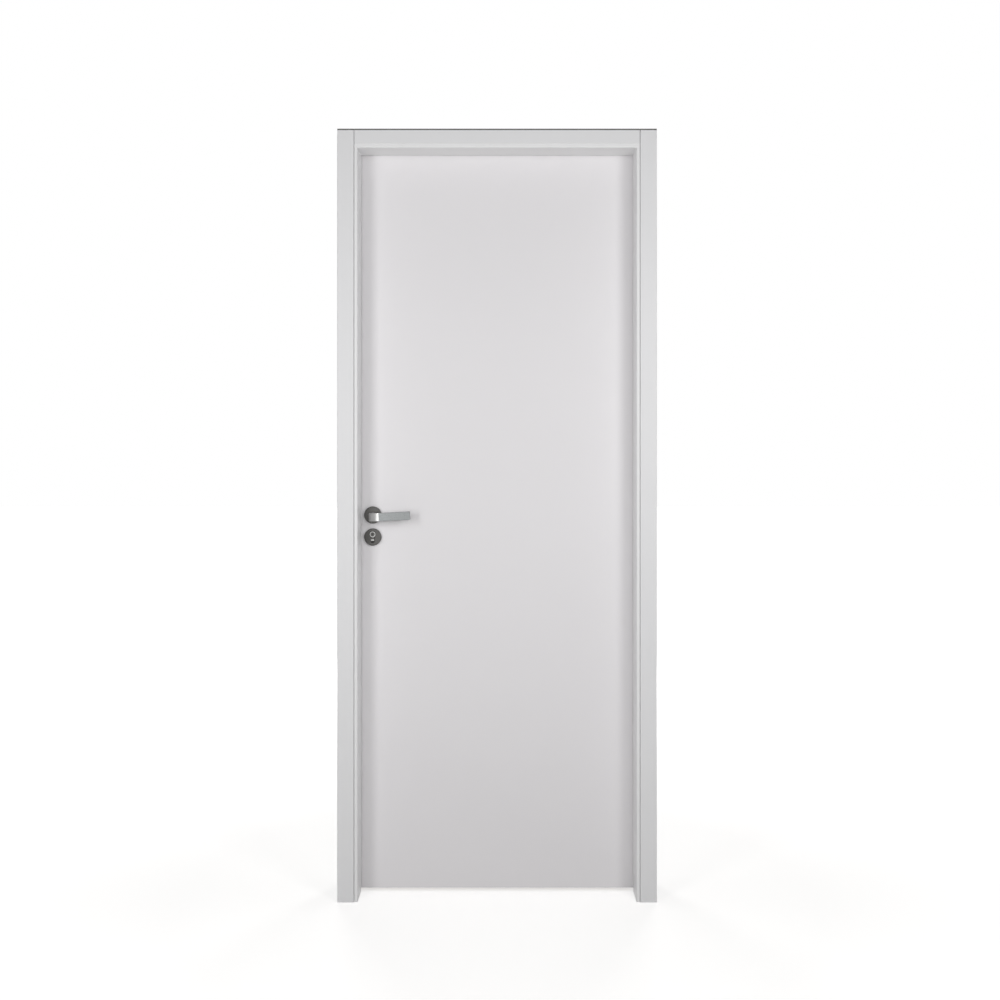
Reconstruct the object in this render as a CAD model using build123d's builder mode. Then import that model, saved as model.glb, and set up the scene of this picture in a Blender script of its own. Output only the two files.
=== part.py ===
from build123d import *

import os
from math import cos, radians, sin

# Melamine door set: a rebated frame with casings on both wall faces, a flush leaf on three
# butt hinges, and a lever set with a separate cylinder rose on each face.
# Millimetres. X runs right as seen from the push side, Y runs away from the viewer, Z is up.
# The origin lies on the wall face of the hinge jamb, at floor level, half way through the wall.

# Leaf
leaf_width = 800.0
leaf_height = 2100.0
leaf_thickness = 40.0
skin_thickness = 3.0
band_thickness = 2.0
leaf_arris = 1.2

# Running gaps round the leaf
hinge_gap = 5.0
lock_gap = 6.5
head_gap = 6.0
floor_gap = 8.0
stop_gap = 8.0

# Frame
jamb_depth = 120.0
jamb_thickness = 20.0
stop_cover = 12.0
head_stop_cover = 8.0
bead_width = 9.5
bead_nose = 10.0
bead_radius = 4.0
quirk_width = 1.0
quirk_depth = 6.0
quirk_arris = 0.8
mitre_depth = 55.0

# Casings
casing_width = 46.0
head_casing_height = 43.0
casing_thickness = 12.0
casing_arris = 2.0
casing_joint = 1.0

# Seal strips
seal_inset = 5.0
seal_width = 6.0
seal_height = 3.0
seal_root_width = 3.0
seal_root_depth = 5.0

# Butt hinges
hinge_length = 100.0
hinge_plate_width = 30.0
hinge_plate_thickness = 2.5
hinge_top_offset = 200.0
hinge_bottom_offset = 250.0
knuckle_radius = 6.0
knuckle_standoff = 7.0
knuckle_count = 3
knuckle_gap = 0.4
pin_radius = 3.5
pin_fit = 0.05
pin_cap_radius = 5.0
pin_cap_height = 3.0

# Lock
lever_height = 1074.0
backset = 45.0
cylinder_drop = 63.0
faceplate_length = 235.0
faceplate_width = 22.0
faceplate_thickness = 3.0
faceplate_corner = 4.0
faceplate_drop = 35.0
case_length = 165.0
case_depth = 70.0
case_thickness = 16.0
bolt_fit = 0.3
bolt_proud = 1.0
bolt_depth = 25.0
latch_width = 12.0
latch_length = 20.0
latch_bevel = 3.0
dead_bolt_width = 12.0
dead_bolt_length = 30.0
spindle_bore_radius = 11.0

# Strike plate
strike_length = 180.0
strike_width = 24.0
strike_thickness = 2.0
strike_corner = 4.0
strike_lip_length = 46.0
strike_clearance = 2.5
strike_pocket_depth = 12.0

# Euro-profile cylinder
cylinder_radius = 8.5
cylinder_web = 10.0
cylinder_length = 33.0
cylinder_proud = 2.0
cylinder_fit = 0.3
plug_radius = 6.5
plug_proud = 0.6
keyway_width = 2.0
keyway_length = 8.0
keyway_depth = 6.0

# Roses and levers
rose_radius = 24.5
rose_thickness = 9.0
rose_rim = 1.5
journal_radius = 7.0
journal_fit = 0.08
neck_gap = 2.0
neck_outer_side = 11.0
neck_inner_side = 9.0
neck_height = 22.5
neck_outer_straight = 3.0
neck_inner_straight = 8.0
bend_crease = 12.0
arm_thickness = 10.0
arm_end_height = 24.5
arm_end_corner = 3.0
lever_reach = 53.0
lever_length = 110.0
lever_arris = 1.2
lever_tilt = 2.8
lever_drop = 5.4
spindle_size = 8.0
socket_depth = 16.0

# Places that follow from the sizes above
front_y = -jamb_depth / 2
back_y = jamb_depth / 2
leaf_front_y = back_y - leaf_thickness
leaf_mid_y = back_y - leaf_thickness / 2
stop_back_y = leaf_front_y - stop_gap
hinge_rebate_x = -jamb_thickness
leaf_right_x = hinge_rebate_x - hinge_gap
leaf_left_x = leaf_right_x - leaf_width
lock_rebate_x = leaf_left_x - lock_gap
lock_wall_x = lock_rebate_x - jamb_thickness
hinge_stop_x = leaf_right_x - stop_cover
lock_stop_x = leaf_left_x + stop_cover
leaf_top_z = floor_gap + leaf_height
head_rebate_z = leaf_top_z + head_gap
head_stop_z = leaf_top_z - head_stop_cover
head_wall_z = head_rebate_z + jamb_thickness
casing_setback = bead_width + quirk_width
lever_x = leaf_left_x + backset
cylinder_z = lever_height - cylinder_drop
plug_rise = cylinder_length / 2 - cylinder_radius
faceplate_z = lever_height - faceplate_drop
pin_x = hinge_rebate_x - hinge_gap / 2
pin_y = back_y + knuckle_standoff
hinge_top_z = leaf_top_z - hinge_top_offset
hinge_bottom_z = floor_gap + hinge_bottom_offset
hinge_heights = {
    "top": hinge_top_z,
    "middle": (hinge_top_z + hinge_bottom_z) / 2,
    "bottom": hinge_bottom_z,
}
skin_left_x = leaf_left_x + band_thickness
skin_right_x = leaf_right_x - band_thickness
skin_top_z = leaf_top_z - band_thickness

# Working planes on the edges of the leaf and of the frame, each facing into its piece
lock_edge = Plane(origin=(leaf_left_x, leaf_mid_y, 0), x_dir=(0, 1, 0), z_dir=(1, 0, 0))
strike_face = Plane(origin=(lock_rebate_x, leaf_mid_y, 0), x_dir=(0, -1, 0), z_dir=(-1, 0, 0))
hinge_edge = Plane(origin=(leaf_right_x, 0, 0), x_dir=(0, -1, 0), z_dir=(-1, 0, 0))
hinge_seat = Plane(origin=(hinge_rebate_x, 0, 0), x_dir=(0, 1, 0), z_dir=(1, 0, 0))

pieces = {}


def span_block(x_range, y_range, z_range, mode=Mode.ADD):
    """Add or cut a square-edged block between two corners."""
    ranges = (x_range, y_range, z_range)
    with Locations(tuple((low + high) / 2 for low, high in ranges)):
        Box(*(high - low for low, high in ranges), mode=mode)


def jamb_section(sketch, stop_thickness, has_quirk):
    """Draw the rebated section: the wall face lies on the local Y axis, the opening is at +X."""
    with BuildLine() as outline:
        Polyline(
            (0, front_y),
            (stop_thickness, front_y),
            (stop_thickness, stop_back_y),
            (jamb_thickness, stop_back_y),
            (jamb_thickness, back_y),
            (0, back_y),
            close=True,
        )
    make_face(outline.edges())
    if has_quirk:
        with Locations((jamb_thickness - bead_width - quirk_width / 2, back_y - quirk_depth / 2)):
            Rectangle(quirk_width, quirk_depth, mode=Mode.SUBTRACT)
    with Locations((stop_thickness - seal_inset, stop_back_y - seal_root_depth / 2)):
        Rectangle(seal_root_width, seal_root_depth, mode=Mode.SUBTRACT)
    back_corners = sketch.vertices().group_by(Axis.Y)[-1].sort_by(Axis.X)
    fillet(back_corners[-1], bead_radius)
    if has_quirk:
        fillet(back_corners[-2], quirk_arris)


def front_bead(*corners):
    """Add the bead that stands out of the front of a jamb, mitred where a side meets the head."""
    with BuildSketch(Plane(origin=(0, front_y, 0), x_dir=(1, 0, 0), z_dir=(0, -1, 0))) as bead:
        with BuildLine() as outline:
            Polyline(*corners, close=True)
        make_face(outline.edges())
    extrude(bead.sketch, amount=bead_nose)


def mitre_wedge(stop_x, rebate_x, mode):
    """Add or cut the wedge over a mitred corner between the stop of a side and of the head."""
    mitre_top_z = head_stop_z + abs(stop_x - rebate_x)
    with BuildSketch(Plane(origin=(0, front_y, 0), x_dir=(1, 0, 0), z_dir=(0, -1, 0))) as wedge:
        with BuildLine() as outline:
            Polyline(
                (stop_x, head_stop_z),
                (rebate_x, mitre_top_z),
                (rebate_x, head_wall_z),
                (stop_x, head_wall_z),
                close=True,
            )
        make_face(outline.edges())
    extrude(wedge.sketch, amount=-mitre_depth, mode=mode)


def seal_section(stop_thickness):
    """Draw a seal strip: a root in the groove of the stop and a rounded lip behind it."""
    seal_x = stop_thickness - seal_inset
    with Locations((seal_x, stop_back_y)):
        Ellipse(seal_width / 2, seal_height)
    with Locations((seal_x, stop_back_y - seal_height / 2)):
        Rectangle(seal_width, seal_height, mode=Mode.SUBTRACT)
    with Locations((seal_x, stop_back_y - seal_root_depth / 2)):
        Rectangle(seal_root_width, seal_root_depth)


def faceplate_outline():
    """Draw the round-ended outline of the lock faceplate."""
    with Locations((0, faceplate_z)):
        RectangleRounded(faceplate_width, faceplate_length, faceplate_corner)


def bolt_outlines(margin):
    """Draw the ends of both bolts, each side wider by a margin."""
    with Locations((0, lever_height)):
        Rectangle(latch_width + 2 * margin, latch_length + 2 * margin)
    with Locations((0, cylinder_z)):
        Rectangle(dead_bolt_width + 2 * margin, dead_bolt_length + 2 * margin)


def strike_outline():
    """Draw the strike plate with its lip, which runs out to the back edge of the jamb."""
    with Locations((0, faceplate_z)):
        RectangleRounded(strike_width, strike_length, strike_corner)
    with Locations((-leaf_thickness / 4, lever_height)):
        Rectangle(leaf_thickness / 2, strike_lip_length)


def cylinder_outline(margin):
    """Draw the profile of the lock cylinder about the centre of its rose."""
    foot_drop = cylinder_length / 2 - cylinder_web / 2
    with Locations((0, plug_rise)):
        Circle(cylinder_radius + margin)
    with Locations((0, (plug_rise - foot_drop) / 2)):
        Rectangle(cylinder_web + 2 * margin, plug_rise + foot_drop)
    with Locations((0, -foot_drop)):
        Circle(cylinder_web / 2 + margin)


def rose_plane(face, height):
    """Give the outward plane on the lever line of one face of the leaf."""
    if face == "front":
        return Plane(origin=(lever_x, leaf_front_y, height), x_dir=(1, 0, 0), z_dir=(0, -1, 0))
    return Plane(origin=(lever_x, back_y, height), x_dir=(-1, 0, 0), z_dir=(0, 1, 0))


def lock_bores():
    """Cut the spindle bore and the cylinder hole straight through the leaf."""
    with BuildSketch(rose_plane("front", lever_height)) as spindle_bore:
        Circle(spindle_bore_radius)
    extrude(spindle_bore.sketch, amount=-leaf_thickness, mode=Mode.SUBTRACT)
    with BuildSketch(rose_plane("front", cylinder_z)) as cylinder_hole:
        cylinder_outline(cylinder_fit)
    extrude(cylinder_hole.sketch, amount=-leaf_thickness, mode=Mode.SUBTRACT)


def hinge_mortises(plane, inward):
    """Cut the seats of the three hinge plates into an edge."""
    with BuildSketch(plane) as seats:
        for height in hinge_heights.values():
            with Locations((inward * (back_y - hinge_plate_width / 2), height)):
                Rectangle(hinge_plate_width, hinge_length)
    extrude(seats.sketch, amount=hinge_plate_thickness, mode=Mode.SUBTRACT)


# Frame: a quirk parts each side's beads from its casings, and the head's casing fits tight
bead_top_z = head_stop_z + bead_width
hinge_bead_x = hinge_stop_x + bead_width
lock_bead_x = lock_stop_x - bead_width
with BuildPart() as hinge_jamb:
    hinge_jamb_plan = Plane(origin=(0, 0, head_wall_z), x_dir=(-1, 0, 0), z_dir=(0, 0, -1))
    with BuildSketch(hinge_jamb_plan) as hinge_jamb_plan_section:
        jamb_section(hinge_jamb_plan_section, -hinge_stop_x, True)
    extrude(amount=head_wall_z)
    mitre_wedge(hinge_stop_x, hinge_rebate_x, Mode.SUBTRACT)
    front_bead((hinge_stop_x, 0), (hinge_stop_x, head_stop_z), (hinge_bead_x, bead_top_z), (hinge_bead_x, 0))
    hinge_bead_edges = hinge_jamb.edges().group_by(Axis.Y)[0].filter_by(Axis.Z).sort_by(Axis.X)
    fillet(hinge_bead_edges[0], bead_radius)
    fillet(hinge_bead_edges[-1], quirk_arris)
    hinge_mortises(hinge_seat, 1)
pieces["hinge_jamb"] = hinge_jamb

with BuildPart() as lock_jamb:
    with BuildSketch(Plane(origin=(lock_wall_x, 0, 0))) as lock_jamb_plan_section:
        jamb_section(lock_jamb_plan_section, lock_stop_x - lock_wall_x, True)
    extrude(amount=head_wall_z)
    mitre_wedge(lock_stop_x, lock_rebate_x, Mode.SUBTRACT)
    front_bead((lock_stop_x, 0), (lock_stop_x, head_stop_z), (lock_bead_x, bead_top_z), (lock_bead_x, 0))
    lock_bead_edges = lock_jamb.edges().group_by(Axis.Y)[0].filter_by(Axis.Z).sort_by(Axis.X)
    fillet(lock_bead_edges[-1], bead_radius)
    fillet(lock_bead_edges[0], quirk_arris)
    with BuildSketch(strike_face):
        strike_outline()
    extrude(amount=strike_thickness, mode=Mode.SUBTRACT)
    with BuildSketch(strike_face):
        bolt_outlines(strike_clearance)
    extrude(amount=strike_thickness + strike_pocket_depth, mode=Mode.SUBTRACT)
pieces["lock_jamb"] = lock_jamb

head_end = Plane(origin=(lock_rebate_x, 0, head_wall_z), x_dir=(0, 0, -1), z_dir=(1, 0, 0))
head_span = hinge_rebate_x - lock_rebate_x
with BuildPart() as head_corners:
    mitre_wedge(lock_stop_x, lock_rebate_x, Mode.ADD)
    mitre_wedge(hinge_stop_x, hinge_rebate_x, Mode.ADD)
with BuildPart() as head_jamb:
    with BuildSketch(head_end) as head_jamb_section:
        jamb_section(head_jamb_section, head_wall_z - head_stop_z, False)
    extrude(amount=head_span)
    for x_range in ((lock_rebate_x, lock_stop_x), (hinge_stop_x, hinge_rebate_x)):
        span_block(x_range, (front_y, stop_back_y), (head_stop_z, head_wall_z), Mode.SUBTRACT)
    add(head_corners.part)
    front_bead(
        (lock_stop_x, head_stop_z),
        (hinge_stop_x, head_stop_z),
        (hinge_bead_x, bead_top_z),
        (lock_bead_x, bead_top_z),
    )
    fillet(head_jamb.edges().group_by(Axis.Y)[0].sort_by(Axis.Z)[0], bead_radius)
pieces["head_jamb"] = head_jamb

with BuildPart() as strike_plate:
    with BuildSketch(strike_face):
        strike_outline()
    extrude(amount=strike_thickness)
    with BuildSketch(strike_face):
        bolt_outlines(strike_clearance)
    extrude(amount=strike_thickness, mode=Mode.SUBTRACT)
pieces["strike_plate"] = strike_plate

# Seal strips in the grooves behind the stop
with BuildPart() as hinge_seal:
    seal_plan = Plane(origin=(0, 0, head_rebate_z), x_dir=(-1, 0, 0), z_dir=(0, 0, -1))
    with BuildSketch(seal_plan):
        seal_section(-hinge_stop_x)
    extrude(amount=head_rebate_z)
pieces["hinge_seal"] = hinge_seal

with BuildPart() as lock_seal:
    with BuildSketch(Plane(origin=(lock_wall_x, 0, 0))):
        seal_section(lock_stop_x - lock_wall_x)
    extrude(amount=head_rebate_z)
pieces["lock_seal"] = lock_seal

with BuildPart() as head_seal:
    seal_end = Plane(origin=(lock_stop_x, 0, head_wall_z), x_dir=(0, 0, -1), z_dir=(1, 0, 0))
    with BuildSketch(seal_end):
        seal_section(head_wall_z - head_stop_z)
    extrude(amount=hinge_stop_x - lock_stop_x)
pieces["head_seal"] = head_seal


# Casings: the sides run the full height and the head fits between them with a hairline joint
def casing(name, x_range, y_range, z_range, shown_face, first_edge):
    """Make one casing board with rounded edges on the side that faces the room."""
    with BuildPart() as board:
        span_block(x_range, y_range, z_range)
        room_face = board.faces().sort_by(Axis.Y)[shown_face]
        fillet(room_face.edges().sort_by(Axis.Z)[first_edge:], casing_arris)
    pieces[name] = board


casing_sides = {
    "front": (lock_stop_x, hinge_stop_x, head_stop_z, (front_y - casing_thickness, front_y), 0),
    "back": (lock_rebate_x, hinge_rebate_x, head_rebate_z, (back_y, back_y + casing_thickness), -1),
}
for side, (left_face_x, right_face_x, head_face_z, y_range, shown_face) in casing_sides.items():
    left_x = left_face_x - casing_setback
    right_x = right_face_x + casing_setback
    head_z = head_face_z + bead_width
    top_z = head_z + head_casing_height
    casing(f"{side}_left_casing", (left_x - casing_width, left_x), y_range, (0, top_z), shown_face, 1)
    casing(f"{side}_right_casing", (right_x, right_x + casing_width), y_range, (0, top_z), shown_face, 1)
    head_range = (left_x + casing_joint, right_x - casing_joint)
    casing(f"{side}_head_casing", head_range, y_range, (head_z, top_z), shown_face, 0)

# Leaf: a core between two melamine skins, banded on the lock, hinge and top edges
with BuildPart() as leaf_core:
    core_y = (leaf_front_y + skin_thickness, back_y - skin_thickness)
    span_block((skin_left_x, skin_right_x), core_y, (floor_gap, skin_top_z))
    hinge_mortises(hinge_edge, -1)
    with BuildSketch(lock_edge):
        faceplate_outline()
    extrude(amount=faceplate_thickness, mode=Mode.SUBTRACT)
    with BuildSketch(lock_edge):
        with Locations((0, faceplate_z)):
            Rectangle(case_thickness, case_length)
    extrude(amount=faceplate_thickness + case_depth, mode=Mode.SUBTRACT)
    lock_bores()
pieces["leaf_core"] = leaf_core

with BuildPart() as front_skin:
    front_skin_y = (leaf_front_y, leaf_front_y + skin_thickness)
    span_block((skin_left_x, skin_right_x), front_skin_y, (floor_gap, skin_top_z))
    lock_bores()
pieces["front_skin"] = front_skin

with BuildPart() as back_skin:
    back_skin_y = (back_y - skin_thickness, back_y)
    span_block((skin_left_x, skin_right_x), back_skin_y, (floor_gap, skin_top_z))
    hinge_mortises(hinge_edge, -1)
    lock_bores()
pieces["back_skin"] = back_skin

with BuildPart() as lock_edge_band:
    span_block((leaf_left_x, skin_left_x), (leaf_front_y, back_y), (floor_gap, leaf_top_z))
    fillet(lock_edge_band.edges().filter_by(Axis.Z).group_by(Axis.X)[0], leaf_arris)
    with BuildSketch(lock_edge):
        faceplate_outline()
    extrude(amount=faceplate_thickness, mode=Mode.SUBTRACT)
pieces["lock_edge_band"] = lock_edge_band

with BuildPart() as hinge_edge_band:
    span_block((skin_right_x, leaf_right_x), (leaf_front_y, back_y), (floor_gap, leaf_top_z))
    fillet(hinge_edge_band.edges().filter_by(Axis.Z).group_by(Axis.X)[-1], leaf_arris)
    hinge_mortises(hinge_edge, -1)
pieces["hinge_edge_band"] = hinge_edge_band

with BuildPart() as top_edge_band:
    span_block((skin_left_x, skin_right_x), (leaf_front_y, back_y), (skin_top_z, leaf_top_z))
    fillet(top_edge_band.edges().filter_by(Axis.X).group_by(Axis.Z)[-1], leaf_arris)
pieces["top_edge_band"] = top_edge_band

# Mortise lock
with BuildPart() as lock_case:
    with BuildSketch(lock_edge.offset(faceplate_thickness)):
        with Locations((0, faceplate_z)):
            Rectangle(case_thickness, case_length)
    extrude(amount=case_depth)
    with BuildSketch(lock_edge.offset(faceplate_thickness)):
        bolt_outlines(bolt_fit)
    extrude(amount=bolt_depth, mode=Mode.SUBTRACT)
    lock_bores()
pieces["lock_case"] = lock_case

with BuildPart() as lock_faceplate:
    with BuildSketch(lock_edge):
        faceplate_outline()
    extrude(amount=faceplate_thickness)
    with BuildSketch(lock_edge):
        bolt_outlines(bolt_fit)
    extrude(amount=faceplate_thickness, mode=Mode.SUBTRACT)
pieces["lock_faceplate"] = lock_faceplate

bolt_nose = lock_edge.offset(-bolt_proud)
bolt_reach = bolt_proud + faceplate_thickness + bolt_depth
with BuildPart() as latch_bolt:
    with BuildSketch(bolt_nose):
        with Locations((0, lever_height)):
            Rectangle(latch_width, latch_length)
    extrude(amount=bolt_reach)
    nose_edges = latch_bolt.faces().sort_by(Axis.X)[0].edges().filter_by(Axis.Z)
    chamfer(nose_edges.sort_by(Axis.Y)[0], latch_bevel)
pieces["latch_bolt"] = latch_bolt

with BuildPart() as dead_bolt:
    with BuildSketch(bolt_nose):
        with Locations((0, cylinder_z)):
            Rectangle(dead_bolt_width, dead_bolt_length)
    extrude(amount=bolt_reach)
pieces["dead_bolt"] = dead_bolt

cylinder_reach = rose_thickness + cylinder_proud
cylinder_front = rose_plane("front", cylinder_z).offset(cylinder_reach)
cylinder_span = leaf_thickness + 2 * cylinder_reach
with BuildPart() as lock_cylinder:
    with BuildSketch(cylinder_front):
        cylinder_outline(0)
    extrude(amount=-cylinder_span)
    for face in ("front", "back"):
        plug_seat = rose_plane(face, cylinder_z).offset(cylinder_reach)
        with BuildSketch(plug_seat):
            with Locations((0, plug_rise)):
                Circle(plug_radius)
        extrude(amount=plug_proud)
        with BuildSketch(plug_seat.offset(plug_proud)):
            with Locations((0, plug_rise)):
                Rectangle(keyway_width, keyway_length)
        extrude(amount=-keyway_depth, mode=Mode.SUBTRACT)
pieces["lock_cylinder"] = lock_cylinder

# Roses: discs with an eased rim
for face in ("front", "back"):
    for kind, height in (("lever", lever_height), ("cylinder", cylinder_z)):
        plane = rose_plane(face, height)
        with BuildPart() as rose:
            with BuildSketch(plane):
                Circle(rose_radius)
            extrude(amount=rose_thickness)
            chamfer(rose.edges().sort_by(Axis(plane.origin, plane.z_dir))[-1], rose_rim)
            with BuildSketch(plane):
                if kind == "lever":
                    Circle(journal_radius + journal_fit)
                else:
                    cylinder_outline(cylinder_fit)
            extrude(amount=rose_thickness, mode=Mode.SUBTRACT)
        pieces[f"{face}_{kind}_rose"] = rose

# Levers: a bar that leaves the rose square to the leaf, sweeps round and meets the flat arm at a crease
arm_direction = (cos(radians(lever_tilt)), 0, sin(radians(lever_tilt)))
lever_planes = {
    "front": Plane(origin=(lever_x, leaf_front_y, lever_height), x_dir=arm_direction, z_dir=(0, -1, 0)),
    "back": Plane(origin=(lever_x, back_y, lever_height), x_dir=arm_direction, z_dir=(0, 1, 0)),
}
lever_drops = {"front": lever_drop, "back": -lever_drop}
neck_start = rose_thickness + neck_gap
arm_back = lever_reach - arm_thickness
outer_bend_start = neck_start + neck_outer_straight
outer_bend = (lever_reach - outer_bend_start) / cos(radians(bend_crease))
inner_bend_start = neck_start + neck_inner_straight
inner_bend = arm_back - inner_bend_start
for face, plane in lever_planes.items():
    drop = lever_drops[face]
    along = Axis(plane.origin, plane.x_dir)
    across = Axis(plane.origin, plane.y_dir)
    outward = Axis(plane.origin, plane.z_dir)
    with BuildPart() as lever:
        with BuildSketch(Plane(origin=plane.origin, x_dir=plane.x_dir, z_dir=-plane.y_dir)):
            with BuildLine():
                outer_centre = (outer_bend - neck_outer_side, outer_bend_start)
                inner_centre = (neck_inner_side + inner_bend, inner_bend_start)
                outer_sweep = CenterArc(outer_centre, outer_bend, 180, bend_crease - 90)
                inner_sweep = CenterArc(inner_centre, inner_bend, 90, 90)
                Polyline(
                    outer_sweep @ 1,
                    (lever_length, lever_reach),
                    (lever_length, arm_back),
                    inner_sweep @ 0,
                )
                Polyline(
                    inner_sweep @ 1,
                    (neck_inner_side, neck_start),
                    (-neck_outer_side, neck_start),
                    outer_sweep @ 0,
                )
            make_face()
        extrude(amount=arm_end_height, both=True)
        with BuildSketch(plane) as arm_outline:
            with BuildLine():
                Polyline(
                    (-neck_outer_side, neck_height / 2 - drop),
                    (lever_length, arm_end_height / 2 - drop),
                    (lever_length, -arm_end_height / 2 - drop),
                    (-neck_outer_side, -neck_height / 2 - drop),
                    close=True,
                )
            make_face()
            fillet(arm_outline.vertices().sort_by(Axis.X)[-2:], arm_end_corner)
        extrude(amount=lever_reach, mode=Mode.INTERSECT)
        base_edges = lever.faces().sort_by(outward)[0].edges()
        seam_edges = lever.edges().filter_by(across).sort_by(along)[:-2]
        corner_edges = lever.edges().filter_by(outward).sort_by(along)[-4:]
        chamfer(lever.edges() - base_edges - seam_edges - corner_edges, lever_arris)
        with BuildSketch(plane):
            Circle(journal_radius)
        extrude(amount=neck_start)
        with BuildSketch(plane):
            Rectangle(spindle_size, spindle_size)
        extrude(amount=socket_depth, mode=Mode.SUBTRACT)
    pieces[f"{face}_lever"] = lever

with BuildPart() as spindle:
    with BuildSketch(lever_planes["front"].offset(socket_depth)):
        Rectangle(spindle_size, spindle_size)
    extrude(amount=-(leaf_thickness + 2 * socket_depth))
pieces["spindle"] = spindle

# Butt hinges: knuckles alternate along the pin, the frame's at both ends
knuckle_length = (hinge_length - (knuckle_count - 1) * knuckle_gap) / knuckle_count


def hinge_plate(name, height, side, first_knuckle):
    """Make one plate of a hinge with every second knuckle, on one side of the pin."""
    bottom = height - hinge_length / 2
    plate_x = pin_x + side * (hinge_gap + hinge_plate_thickness) / 2
    with BuildPart() as plate:
        with BuildSketch(Plane.XY.offset(bottom)):
            with Locations((plate_x, back_y - hinge_plate_width / 2)):
                Rectangle(hinge_plate_thickness, hinge_plate_width)
        extrude(amount=hinge_length)
        for knuckle in range(first_knuckle, knuckle_count, 2):
            with BuildSketch(Plane.XY.offset(bottom + knuckle * (knuckle_length + knuckle_gap))):
                with Locations((plate_x, back_y + knuckle_standoff / 2)):
                    Rectangle(hinge_plate_thickness, knuckle_standoff)
                with Locations((pin_x, pin_y)):
                    Circle(knuckle_radius)
                    Circle(pin_radius + pin_fit, mode=Mode.SUBTRACT)
            extrude(amount=knuckle_length)
    pieces[name] = plate


for place, height in hinge_heights.items():
    hinge_plate(f"{place}_frame_hinge_plate", height, 1, 0)
    hinge_plate(f"{place}_leaf_hinge_plate", height, -1, 1)
    with BuildPart() as hinge_pin:
        with BuildSketch(Plane(origin=(pin_x, pin_y, height - hinge_length / 2))):
            Circle(pin_radius)
        extrude(amount=hinge_length)
        with BuildSketch(Plane(origin=(pin_x, pin_y, height + hinge_length / 2))):
            Circle(pin_cap_radius)
        extrude(amount=pin_cap_height)
        with BuildSketch(Plane(origin=(pin_x, pin_y, height - hinge_length / 2))):
            Circle(pin_cap_radius)
        extrude(amount=-pin_cap_height)
    pieces[f"{place}_hinge_pin"] = hinge_pin

os.makedirs("parts", exist_ok=True)
for name, piece in pieces.items():
    piece.part.label = name
    export_step(piece.part, f"parts/{name}.step")
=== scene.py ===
"""Looks of a white melamine door set: its finishes, smooth hardware, studio light and camera."""

import logging
import math
from dataclasses import dataclass, field, replace
from enum import Enum
from typing import Any, Callable, Iterable, Sequence

import bmesh
import bpy
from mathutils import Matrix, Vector


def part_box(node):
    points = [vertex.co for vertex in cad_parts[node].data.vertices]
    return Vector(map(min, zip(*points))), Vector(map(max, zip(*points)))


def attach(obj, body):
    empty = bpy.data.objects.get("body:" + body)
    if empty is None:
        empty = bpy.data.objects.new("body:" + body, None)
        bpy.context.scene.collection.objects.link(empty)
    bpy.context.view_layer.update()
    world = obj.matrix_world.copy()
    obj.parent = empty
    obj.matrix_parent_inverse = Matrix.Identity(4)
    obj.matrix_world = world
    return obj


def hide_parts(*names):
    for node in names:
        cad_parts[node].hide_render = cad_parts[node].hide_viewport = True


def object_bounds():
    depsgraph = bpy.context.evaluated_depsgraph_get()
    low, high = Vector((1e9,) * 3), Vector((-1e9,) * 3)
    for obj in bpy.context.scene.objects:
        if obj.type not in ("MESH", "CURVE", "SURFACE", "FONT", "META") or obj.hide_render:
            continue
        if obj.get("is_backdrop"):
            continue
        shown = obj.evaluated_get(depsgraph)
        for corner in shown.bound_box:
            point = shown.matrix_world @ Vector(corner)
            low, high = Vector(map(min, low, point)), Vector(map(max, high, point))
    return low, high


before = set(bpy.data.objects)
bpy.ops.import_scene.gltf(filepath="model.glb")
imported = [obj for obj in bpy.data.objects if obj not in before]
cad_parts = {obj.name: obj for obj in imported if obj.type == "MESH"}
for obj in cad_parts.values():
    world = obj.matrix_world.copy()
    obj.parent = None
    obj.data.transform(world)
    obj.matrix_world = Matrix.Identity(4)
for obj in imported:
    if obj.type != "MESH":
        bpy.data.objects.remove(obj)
cad_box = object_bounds()
log = logging.getLogger("melamine_door")

Colour = tuple[float, float, float]
Point = tuple[float, float, float]
Place = tuple[float, float]
Reach = float | Callable[[float], float]
Socket = bpy.types.NodeSocket
MM = 0.001
TINY = 1e-9
NOISE_MEAN = 0.5


class Face(Enum):
    """The two faces of the leaf, each with its outward direction along Y."""

    FRONT = -1
    BACK = 1

    @property
    def label(self) -> str:
        """The word that starts the names of the pieces on this face."""
        return self.name.lower()


class Grain(Enum):
    """How a metal was finished: brushed along an axis, or turned about the Y axis."""

    ALONG_X = (0.03, 1.0, 1.0)
    ALONG_Z = (1.0, 1.0, 0.03)
    TURNED = (1.0, 0.0, 1.0)


def centre_of(node: str) -> Vector:
    """Give the middle of a CAD node's box."""
    low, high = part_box(node)
    return (low + high) / 2


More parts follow.
